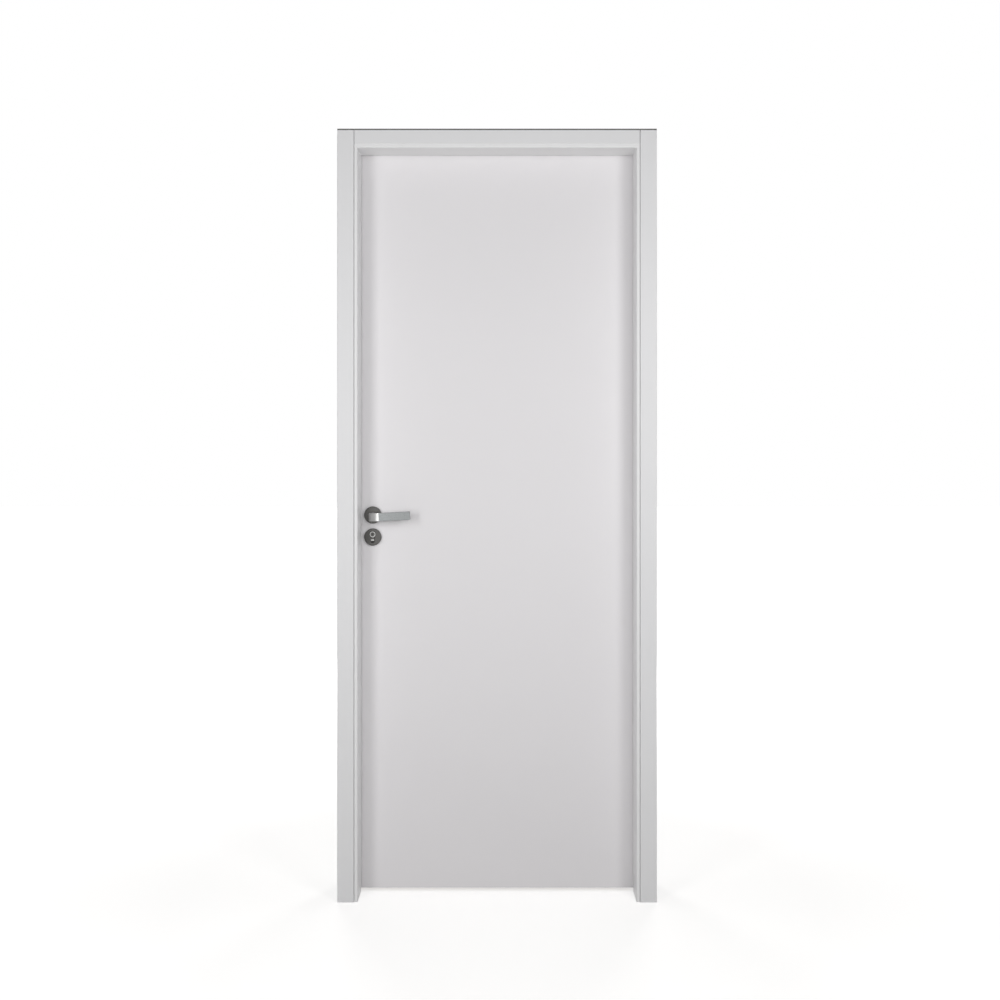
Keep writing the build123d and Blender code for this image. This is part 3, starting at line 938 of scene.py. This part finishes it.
class RoseBlank:
    """Where one rose sits and how big it is, read from its CAD node."""

    RIM_STEPS = 8

    def __init__(self, node: str, face: Face) -> None:
        """Read the rose's centre, radius, thickness and seat on the leaf.

        Args:
            node: the rose's CAD node.
            face: the face of the leaf that it is on.
        """
        low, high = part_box(node)
        self.node = node
        self.face = face
        self.centre = centre_of(node)
        self.radius = (high.x - low.x) / 2
        self.thickness = high.y - low.y
        self.seat = high.y if face is Face.FRONT else low.y

    def finish(self) -> SatinMetal:
        """Give the dark satin finish, turned about this rose's centre."""
        return replace(ROSE_METAL, centre=tuple(self.centre), piece=self.node)

    def ring(self, angles: Sequence[float], out: float, reach: Reach, rise: float = 0.0) -> list[Point]:
        """Give a ring of points parallel to the leaf.

        Args:
            angles: directions of the points, in radians.
            out: the ring's distance from the leaf.
            reach: its radius, or a function that gives its radius in a direction.
            rise: how far above the rose's centre the ring is centred.

        Returns:
            The ring's points.
        """
        points = []
        for angle in angles:
            radius = reach(angle) if callable(reach) else reach
            across = self.centre.x + radius * math.cos(angle)
            up = self.centre.z + rise + radius * math.sin(angle)
            points.append((across, self.seat + self.face.value * out, up))
        return points

    def rim_profile(self, rim: float, foot: float) -> list[Place]:
        """Give the radius and height of the rings from the foot over the rounded rim.

        Args:
            rim: radius of the rounding between the side and the face.
            foot: height and depth of the narrow foot on the leaf.

        Returns:
            The rings, from the leaf outward.
        """
        profile = [(self.radius - foot, 0.0), (self.radius - foot, foot), (self.radius, 2 * foot)]
        for angle in arc(0.0, 90.0, self.RIM_STEPS):
            side = self.radius - rim * (1 - math.cos(angle))
            profile.append((side, self.thickness - rim * (1 - math.sin(angle))))
        return profile


@dataclass(frozen=True)
class CylinderOutline:
    """Outline of the lock cylinder about the centre of its rose: a round top, a web and a round foot."""

    radius: float = 8.5 * MM
    web: float = 10.0 * MM
    length: float = 33.0 * MM

    @property
    def plug_rise(self) -> float:
        """How far the plug's axis lies above the centre of the rose."""
        return self.length / 2 - self.radius

    @property
    def foot_rise(self) -> float:
        """How far the centre of the round foot lies above the centre of the rose."""
        return (self.web - self.length) / 2

    def corner(self, rise: float) -> float:
        """Give the direction in which the web meets the round top, seen from a rise."""
        drop = math.sqrt(self.radius**2 - (self.web / 2) ** 2)
        return math.atan2(self.plug_rise - drop - rise, self.web / 2)

    def reach(self, angle: float, rise: float, margin: float) -> float:
        """Give the distance to the outline from a point on its middle line.

        Args:
            angle: the direction, in radians.
            rise: how far above the centre of the rose the point lies.
            margin: how far outside the outline to go.

        Returns:
            The distance in metres.
        """
        side, up = math.cos(angle), math.sin(angle)
        ends = [self.web_exit(side, up, rise, margin)]
        for height, radius in ((self.plug_rise, self.radius), (self.foot_rise, self.web / 2)):
            middle = up * (height - rise)
            spare = middle**2 - (height - rise) ** 2 + (radius + margin) ** 2
            if spare >= 0:
                ends.append(middle + math.sqrt(spare))
        return max(ends)

    def web_exit(self, side: float, up: float, rise: float, margin: float) -> float:
        """Give the distance at which a direction leaves the straight web.

        Args:
            side: the direction's share across.
            up: its share upward.
            rise: how far above the centre of the rose it starts.
            margin: how far outside the outline to go.

        Returns:
            The distance in metres.
        """
        across = (self.web / 2 + margin) / max(abs(side), TINY)
        end = self.plug_rise if up > 0 else self.foot_rise
        return min(across, abs(end - rise) / max(abs(up), TINY))


@dataclass(frozen=True)
class Mark:
    """A small round-ended mark on the foot of the lock cylinder: the bar is a painted highlight and the slot
    painted shade.
    """

    rise: float
    width: float
    height: float
    proud: float
    tone: int

    def reach(self, angle: float) -> float:
        """Give the distance from the mark's middle to its edge, in a direction.

        Args:
            angle: the direction, in radians.

        Returns:
            The distance in metres.
        """
        end = self.height / 2
        straight = self.width / 2 - end
        side, up = abs(math.cos(angle)), abs(math.sin(angle))
        if side * end <= straight * up:
            return end / up
        middle = straight * side
        return middle + math.sqrt(middle**2 - straight**2 + end**2)


@dataclass
class LockSet:
    """The cylinder with its roses, and the lock's plate and bolts on the edge of the leaf."""

    outline: CylinderOutline = CylinderOutline()
    rose_rim: float = 2.0 * MM
    rose_foot: float = 0.4 * MM
    fit: float = 0.3 * MM
    proud: float = 2.0 * MM
    ease: float = 0.5 * MM
    plug_radius: float = 6.5 * MM
    plug_proud: float = 0.6 * MM
    keyway_width: float = 2.0 * MM
    keyway_length: float = 8.0 * MM
    keyway_depth: float = 6.0 * MM
    collar_radius: float = 8.0 * MM
    collar_proud: float = 0.45 * MM
    bar: Mark = Mark(-8.2 * MM, 9.8 * MM, 2.4 * MM, 0.4 * MM, 1)
    # the slot is a flat near-black mark, not a recess: painted shade of a dark gap
    slot: Mark = Mark(-13.4 * MM, 8.0 * MM, 3.4 * MM, 0.05 * MM, 2)
    turns: int = 120
    foot_arc: Place = (240.0, 300.0)
    angle_digits: int = 6
    collar_bands: tuple[int, ...] = (4, 5, 6)
    steel: tuple[str, ...] = ("lock_faceplate", "latch_bolt", "dead_bolt", "lock_case")

    def build(self) -> None:
        """Make the cylinder and its roses, and dress the lock's own nodes."""
        for face in Face:
            self.build_rose(face)
        self.build_cylinder()
        dress(LOCK_STEEL, *self.steel)

    def directions(self, rise: float, extra: Sequence[float]) -> list[float]:
        """Spread directions evenly, closer over the foot, with the outline's corners among them.

        Args:
            rise: how far above the centre of the rose they start.
            extra: more directions to take in, in radians.

        Returns:
            The directions in radians, in order.
        """
        corner = self.outline.corner(rise) % math.tau
        mirrored = (math.pi - corner) % math.tau
        found = arc(0.0, 360.0, self.turns)[:-1] + arc(*self.foot_arc, self.turns // 3)
        found += [angle % math.tau for angle in (corner, mirrored, *extra)]
        return sorted({round(angle, self.angle_digits) for angle in found})

    def build_rose(self, face: Face) -> None:
        """Make one cylinder rose, with the cylinder's outline cut through it.

        Args:
            face: the face of the leaf that it is on.
        """
        node = f"{face.label}_cylinder_rose"
        rose = RoseBlank(node, face)
        angles = self.directions(0.0, ())
        skin = Skin()
        for radius, height in rose.rim_profile(self.rose_rim, self.rose_foot):
            skin.ring(rose.ring(angles, height, radius))
        top = rose.thickness
        for margin, height in ((self.fit + self.ease, top), (self.fit, top - self.ease), (self.fit, 0.0)):
            cut = rose.ring(angles, height, lambda angle: self.outline.reach(angle, 0.0, margin))
            skin.ring(cut, sharp=True)
        skin.join_ends()
        add_piece(f"{node}_turned", skin.mesh(node), "leaf", rose.finish(), node)

    def build_cylinder(self) -> None:
        """Make the cylinder: keyway, plug, body and the same again on the other face."""
        rise = self.outline.plug_rise
        corner = math.atan2(self.keyway_length, self.keyway_width)
        keyway_corners = (corner, math.pi - corner, math.pi + corner, math.tau - corner)
        angles = self.directions(rise, keyway_corners)
        skin = Skin()
        for face in Face:
            rose = RoseBlank(f"{face.label}_cylinder_rose", face)
            rings = self.face_rings(rose.thickness + self.proud)
            order = range(len(rings)) if face is Face.FRONT else reversed(range(len(rings)))
            for index in order:
                reach, out, sharp = rings[index]
                skin.ring(rose.ring(angles, out, reach, rise), sharp)
                band = index if face is Face.FRONT else index - 1
                # the collar bands get the lighter copy: polished ring plus painted highlight
                skin.tone = int(band in self.collar_bands)
        skin.cap_ends()
        for face in Face:
            self.add_marks(skin, RoseBlank(f"{face.label}_cylinder_rose", face))
        node = "lock_cylinder"
        piece = add_piece(f"{node}_body", skin.mesh(node), "leaf", CYLINDER_METAL, node)
        paint(piece, skin.tones, CYLINDER_PAINTED_HIGHLIGHT, CYLINDER_PAINTED_SHADE)

    def add_marks(self, skin: Skin, rose: RoseBlank) -> None:
        """Add the bar, a painted highlight, and the slot, painted shade, on one end of the cylinder's foot.

        Args:
            skin: the cylinder's surface.
            rose: the rose on that face of the leaf.
        """
        angles = arc(0.0, 360.0, self.turns // 2)[:-1]
        end = rose.thickness + self.proud
        for mark in (self.bar, self.slot):
            skin.tone = mark.tone
            for out in (end - self.ease, end + mark.proud):
                skin.ring(rose.ring(angles, out, mark.reach, mark.rise))
            skin.cap_ends()

    def face_rings(self, out: float) -> list[tuple[Reach, float, bool]]:
        """List the rings of one end of the cylinder, from the bottom of the keyway to the side.

        Args:
            out: how far from the leaf the body's end lies.

        Returns:
            Each ring's reach, distance from the leaf and whether it is a crease.
        """
        rise = self.outline.plug_rise
        plug = out + self.plug_proud
        chamfer = self.ease / 2
        return [
            (self.keyway_reach, plug - self.keyway_depth, True),
            (self.keyway_reach, plug, True),
            (self.plug_radius - chamfer, plug, True),
            (self.plug_radius, plug - chamfer, True),
            (self.plug_radius, out, True),
            (self.plug_radius, out + self.collar_proud, True),
            (self.collar_radius - chamfer, out + self.collar_proud, True),
            (self.collar_radius, out, True),
            (lambda angle: self.outline.reach(angle, rise, -self.ease), out, True),
            (lambda angle: self.outline.reach(angle, rise, 0.0), out - self.ease, True),
            (lambda angle: self.outline.reach(angle, rise, 0.0), 0.0, False),
        ]

    def keyway_reach(self, angle: float) -> float:
        """Give the distance from the plug's axis to the keyway's side, in a direction."""
        across = self.keyway_width / 2 / max(abs(math.cos(angle)), TINY)
        return min(across, self.keyway_length / 2 / max(abs(math.sin(angle)), TINY))


@dataclass(frozen=True)
class Screw:
    """Where a screw sits and which way its head faces."""

    place: Point
    facing: Point


class ScrewHeads:
    """Geometry nodes that set a cross-slotted countersunk head on every point of a mesh."""

    FACING = "facing"
    SIDES = 24
    CROWN = 0.82
    SLOT_LENGTH = 1.15
    SLOT_WIDTH = 0.24
    SLOT_HEIGHT = 1.4

    def __init__(self) -> None:
        """Build the node tree."""
        self.tree = bpy.data.node_groups.new("screw_heads", "GeometryNodeTree")
        kinds = {
            "Points": "NodeSocketGeometry",
            "Head Radius": "NodeSocketFloat",
            "Head Height": "NodeSocketFloat",
            "Finish": "NodeSocketMaterial",
            "Seed": "NodeSocketInt",
        }
        sockets = self.tree.interface
        self.inputs = {
            name: sockets.new_socket(name, in_out="INPUT", socket_type=kind).identifier
            for name, kind in kinds.items()
        }
        sockets.new_socket("Screws", in_out="OUTPUT", socket_type="NodeSocketGeometry")
        wiring = Wiring(self.tree)
        given = wiring.add("NodeGroupInput").outputs
        heads = wiring.add(
            "GeometryNodeInstanceOnPoints",
            {
                "Points": given["Points"],
                "Instance": self.head(wiring, given),
                "Rotation": self.turn(wiring, given),
            },
        )
        real = wiring.add("GeometryNodeRealizeInstances", {"Geometry": heads.outputs["Instances"]})
        painted = wiring.add(
            "GeometryNodeSetMaterial",
            {"Geometry": real.outputs["Geometry"], "Material": given["Finish"]},
        )
        wiring.add("NodeGroupOutput", {"Screws": painted.outputs["Geometry"]})

    @classmethod
    def head(cls, wiring: Wiring, given: Any) -> Socket:
        """Make one head: a low cone with a cross cut into it.

        Args:
            wiring: the tree's wiring.
            given: the tree's input sockets by name.

        Returns:
            The socket that gives the head's mesh.
        """
        crown = wiring.math("MULTIPLY", given["Head Radius"], cls.CROWN)
        cone = wiring.add(
            "GeometryNodeMeshCone",
            {
                "Vertices": cls.SIDES,
                "Radius Top": crown,
                "Radius Bottom": given["Head Radius"],
                "Depth": given["Head Height"],
            },
        )
        long_side = wiring.math("MULTIPLY", given["Head Radius"], cls.SLOT_LENGTH)
        short_side = wiring.math("MULTIPLY", given["Head Radius"], cls.SLOT_WIDTH)
        cut_height = wiring.math("MULTIPLY", given["Head Height"], cls.SLOT_HEIGHT)
        lift = wiring.add("ShaderNodeCombineXYZ", {"Z": given["Head Height"]}).outputs[0]
        whole = {"Mesh 1": cone.outputs["Mesh"]}
        slotted = wiring.add("GeometryNodeMeshBoolean", whole, operation="DIFFERENCE")
        for long_way, short_way in ((long_side, short_side), (short_side, long_side)):
            size = wiring.add("ShaderNodeCombineXYZ", {"X": long_way, "Y": short_way, "Z": cut_height})
            bar = wiring.add("GeometryNodeMeshCube", {"Size": size.outputs[0]}).outputs["Mesh"]
            raised = wiring.add("GeometryNodeTransform", {"Geometry": bar, "Translation": lift})
            wiring.tree.links.new(raised.outputs["Geometry"], slotted.inputs["Mesh 2"])
        return slotted.outputs["Mesh"]

    @classmethod
    def turn(cls, wiring: Wiring, given: Any) -> Socket:
        """Face each head out of its plate and turn its cross by chance.

        Args:
            wiring: the tree's wiring.
            given: the tree's input sockets by name.

        Returns:
            The socket that gives each head's rotation.
        """
        facing = wiring.add(
            "GeometryNodeInputNamedAttribute",
            {"Name": cls.FACING},
            data_type="FLOAT_VECTOR",
        ).outputs["Attribute"]
        aligned = wiring.add("FunctionNodeAlignRotationToVector", {"Vector": facing}, axis="Z")
        chance = wiring.add(
            "FunctionNodeRandomValue",
            {"Min": 0.0, "Max": math.tau, "Seed": given["Seed"]},
            data_type="FLOAT",
        )
        about_own_axis = {"Axis": (0.0, 0.0, 1.0), "Angle": wiring.shown(chance)}
        spin = wiring.add("FunctionNodeAxisAngleToRotation", about_own_axis)
        turned = wiring.add(
            "FunctionNodeRotateRotation",
            {"Rotation": aligned.outputs[0], "Rotate By": spin.outputs[0]},
            rotation_space="LOCAL",
        )
        return turned.outputs[0]

    def mesh(self, name: str, places: list[Screw], radius: float, height: float, seed: int) -> bpy.types.Mesh:
        """Make the heads of one body's screws.

        Args:
            name: the mesh's name.
            places: where each screw sits and which way it faces.
            radius: radius of a head.
            height: how far a head stands out.
            seed: seed for the turn of the crosses.

        Returns:
            A plain mesh of all the heads.
        """
        points = bpy.data.meshes.new(f"{name}_points")
        points.from_pydata([screw.place for screw in places], [], [])
        facing = points.attributes.new(self.FACING, "FLOAT_VECTOR", "POINT")
        facing.data.foreach_set("vector", [value for screw in places for value in screw.facing])
        holder = bpy.data.objects.new(f"{name}_holder", points)
        bpy.context.scene.collection.objects.link(holder)
        heads = holder.modifiers.new("screw_heads", "NODES")
        heads.node_group = self.tree
        finish = LOCK_STEEL.material()
        values = {"Head Radius": radius, "Head Height": height, "Finish": finish, "Seed": seed}
        for label, value in values.items():
            heads[self.inputs[label]] = value
        made = plain_mesh(holder)
        bpy.data.objects.remove(holder)
        bpy.data.meshes.remove(points)
        made.name = name
        return made


@dataclass
class Fixings:
    """The butt hinges and all the screws that show when the leaf is open."""

    places: tuple[str, ...] = ("top", "middle", "bottom")
    plate_width: float = 30.0 * MM
    hinge_rows: tuple[float, ...] = (-38.0 * MM, -13.0 * MM, 13.0 * MM, 38.0 * MM)
    stagger: float = 5.0 * MM
    plate_margin: float = 9.0 * MM
    head_radius: float = 3.6 * MM
    head_height: float = 0.45 * MM
    seed: int = 7

    def build(self) -> None:
        """Dress the hinges and add each body's screws."""
        for place in self.places:
            parts = (f"{place}_frame_hinge_plate", f"{place}_leaf_hinge_plate", f"{place}_hinge_pin")
            dress(HINGE_STEEL, *parts)
        heads = ScrewHeads()
        for body, screws in (("frame", self.frame_screws()), ("leaf", self.leaf_screws())):
            mesh = heads.mesh(f"{body}_screws", screws, self.head_radius, self.head_height, self.seed)
            add_piece(f"{body}_screws", mesh, body, LOCK_STEEL)

    def hinge_screws(self, plate_x: float, facing: float) -> list[Screw]:
        """List the screws of one body's three hinge plates.

        Args:
            plate_x: where the plates' shown faces lie.
            facing: 1 where those faces look along +X, and -1 where they look along -X.

        Returns:
            The screws, in a zigzag down each plate.
        """
        middle_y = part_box("back_skin")[1].y - self.plate_width / 2
        screws = []
        for place in self.places:
            height = centre_of(f"{place}_hinge_pin").z
            for index, row in enumerate(self.hinge_rows):
                aside = self.stagger if index % 2 else -self.stagger
                screws.append(Screw((plate_x, middle_y + aside, height + row), (facing, 0.0, 0.0)))
        return screws

    def plate_screws(self, node: str, plate_x: float, facing: float) -> list[Screw]:
        """List the two screws of the lock's plate or the strike plate.

        Args:
            node: the plate's CAD node.
            plate_x: where its shown face lies.
            facing: which way along X that face looks.

        Returns:
            A screw near each end of the plate.
        """
        low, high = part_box(node)
        across = centre_of("lock_faceplate").y
        heights = (low.z + self.plate_margin, high.z - self.plate_margin)
        return [Screw((plate_x, across, height), (facing, 0.0, 0.0)) for height in heights]

    def frame_screws(self) -> list[Screw]:
        """List the screws in the frame's hinge plates and in the strike plate.

        Returns:
            The screws.
        """
        leaf_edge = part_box("hinge_edge_band")[1].x
        frame_face = 2 * centre_of("middle_hinge_pin").x - leaf_edge
        strike_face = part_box("strike_plate")[1].x
        return self.hinge_screws(frame_face, -1.0) + self.plate_screws("strike_plate", strike_face, 1.0)

    def leaf_screws(self) -> list[Screw]:
        """List the screws in the leaf's hinge plates and in the lock's faceplate.

        Returns:
            The screws.
        """
        leaf_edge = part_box("hinge_edge_band")[1].x
        lock_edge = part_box("lock_faceplate")[0].x
        return self.hinge_screws(leaf_edge, 1.0) + self.plate_screws("lock_faceplate", lock_edge, -1.0)


@dataclass(frozen=True)
class SoftBox:
    """A rectangular lamp that aims at a point, and shows in glossy surfaces if it is mirrored."""

    name: str
    place: Point
    aim: Point
    width: float
    height: float
    watts: float
    mirrored: bool = True

    def build(self) -> None:
        """Add the lamp to the scene."""
        lamp = bpy.data.lights.new(self.name, "AREA")
        lamp.shape = "RECTANGLE"
        lamp.size = self.width
        lamp.size_y = self.height
        lamp.energy = self.watts
        holder = bpy.data.objects.new(self.name, lamp)
        holder.visible_glossy = self.mirrored
        holder.location = self.place
        toward = Vector(self.aim) - Vector(self.place)
        holder.rotation_euler = toward.to_track_quat("-Z", "Y").to_euler()
        bpy.context.scene.collection.objects.link(holder)
        log.info("lamp %s, %.1f W", self.name, self.watts)


@dataclass
class Studio:
    """Pale floor, soft lamps, white surroundings and the camera."""

    camera_distance: float = 3.235
    camera_height: float = 1.2167
    camera_aside: float = 0.0082
    lens: float = 41.88
    shift_down: float = 0.035
    upright: float = 90.0
    front_aim_height: float = 1.4
    back_aim_height: float = 1.2
    ambient: float = 0.187
    floor_size: float = 60.0
    floor_colour: Colour = (0.62, 0.612, 0.60)
    floor_roughness: float = 0.9
    floor_near_glow: float = 0.58
    glow_start: float = 0.9
    glow_end: float = 3.5
    front: float = field(init=False)
    doorway: float = field(init=False)

    def __post_init__(self) -> None:
        """Read where the front of the casings and the middle of the doorway lie."""
        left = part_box("front_left_casing")[0]
        self.front = left.y
        self.doorway = (left.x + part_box("front_right_casing")[1].x) / 2

    def build(self) -> None:
        """Set the view, then make the floor, the surroundings, the lamps and the camera."""
        bpy.context.scene.view_settings.view_transform = "Standard"
        self.build_floor()
        self.build_world()
        for lamp in self.lamps():
            lamp.build()
        self.build_camera()

    def lamps(self) -> list[SoftBox]:
        """List the lamps: one on each side, a broad one behind the camera and two for the back.

        Returns:
            The lamps.
        """
        middle, front, back = self.doorway, self.front, -self.front
        front_aim = (middle, front, self.front_aim_height)
        back_aim = (middle, back, self.back_aim_height)
        left, right = (middle - 1.183, front - 1.91, 1.375), (middle + 1.113, front - 1.91, 1.62)
        far_front = (middle, front - 3.5, 1.45)
        back_left, back_right = (middle - 1.5, back + 3.7, 1.5), (middle + 1.5, back + 3.7, 1.5)
        return [
            SoftBox("left_box", left, front_aim, width=0.57, height=1.4, watts=14.8),
            SoftBox("right_box", right, front_aim, width=0.64, height=1.1, watts=14.4),
            SoftBox("front_fill", far_front, front_aim, width=1.4, height=1.4, watts=23.6, mirrored=False),
            SoftBox("back_left_box", back_left, back_aim, width=1.2, height=1.2, watts=49.0),
            SoftBox("back_right_box", back_right, back_aim, width=1.2, height=1.2, watts=49.0),
        ]

    def build_floor(self) -> None:
        """Make the floor: pale and lit, and white where the camera sees it away from the shadow."""
        low, high = cad_box
        level = low.z
        half = self.floor_size / 2
        corners = [(-half, -half, level), (half, -half, level), (half, half, level), (-half, half, level)]
        mesh = bpy.data.meshes.new("floor")
        mesh.from_pydata(corners, [], [(0, 1, 2, 3)])
        floor = bpy.data.objects.new("floor", mesh)
        bpy.context.scene.collection.objects.link(floor)
        floor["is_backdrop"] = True
        made = bpy.data.materials.new("pale_floor")
        made.use_nodes = True
        wiring = Wiring(made.node_tree)
        shader = made.node_tree.nodes["Principled BSDF"]
        shader.inputs["Base Color"].default_value = (*self.floor_colour, 1.0)
        shader.inputs["Roughness"].default_value = self.floor_roughness
        shader.inputs["Emission Color"].default_value = (1.0, 1.0, 1.0, 1.0)
        coords = wiring.add("ShaderNodeTexCoord").outputs["Object"]
        ends = {0: coords, 1: ((low.x + high.x) / 2, (low.y + high.y) / 2, level)}
        offset = wiring.add("ShaderNodeVectorMath", ends, operation="DISTANCE").outputs["Value"]
        reach = {"From Min": self.glow_start, "From Max": self.glow_end}
        strength = {"To Min": self.floor_near_glow, "To Max": 1.0}
        glow = wiring.add("ShaderNodeMapRange", {"Value": offset, **reach, **strength}).outputs[0]
        seen = self.seen_directly(wiring)
        wiring.tree.links.new(wiring.math("MULTIPLY", glow, seen), shader.inputs["Emission Strength"])
        mesh.materials.append(made)

    @staticmethod
    def seen_directly(wiring: Wiring) -> Socket:
        """Give 1 for rays that show the surroundings to the camera, in a mirror or through glass.

        Args:
            wiring: the wiring of the floor's material or of the world.

        Returns:
            The socket that gives 1 or 0.
        """
        path = wiring.add("ShaderNodeLightPath").outputs
        shown = wiring.math("MAXIMUM", path["Is Camera Ray"], path["Is Glossy Ray"])
        return wiring.math("MAXIMUM", shown, path["Is Transmission Ray"])

    def build_world(self) -> None:
        """Make surroundings that look white and light the door softly."""
        world = bpy.data.worlds.new("white_surroundings")
        bpy.context.scene.world = world
        world.use_nodes = True
        world.node_tree.nodes.clear()
        wiring = Wiring(world.node_tree)
        white_light = {"Color": (1.0, 1.0, 1.0, 1.0)}
        light = wiring.add("ShaderNodeBackground", {**white_light, "Strength": self.ambient})
        white = wiring.add("ShaderNodeBackground", {**white_light, "Strength": 1.0})
        seen = self.seen_directly(wiring)
        both = wiring.add("ShaderNodeMixShader", {0: seen, 1: light.outputs[0], 2: white.outputs[0]})
        wiring.add("ShaderNodeOutputWorld", {"Surface": both.outputs[0]})

    def build_camera(self) -> None:
        """Make the level camera in front of the doorway."""
        lens = bpy.data.cameras.new("camera")
        lens.lens = self.lens
        lens.shift_y = -self.shift_down
        camera = bpy.data.objects.new("camera", lens)
        across = self.doorway + self.camera_aside
        camera.location = (across, self.front - self.camera_distance, self.camera_height)
        camera.rotation_euler = (math.radians(self.upright), 0.0, 0.0)
        bpy.context.scene.collection.objects.link(camera)
        bpy.context.scene.camera = camera


def write_sizes() -> None:
    """Gather the CAD model's box and the shown model's box beside each other; the result is not kept."""
    boxes = {"cad": cad_box, "visual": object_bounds()}
    {name: [list(corner) for corner in box] for name, box in boxes.items()}


def main() -> None:
    """Build the door's pieces and the studio in order."""
    logging.basicConfig(level=logging.INFO, format="%(message)s")
    DoorFrame().dress()
    Leaf().dress()
    LeverSet().build()
    LockSet().build()
    Fixings().build()
    Studio().build()
    write_sizes()


if __name__ == "__main__":
    main()
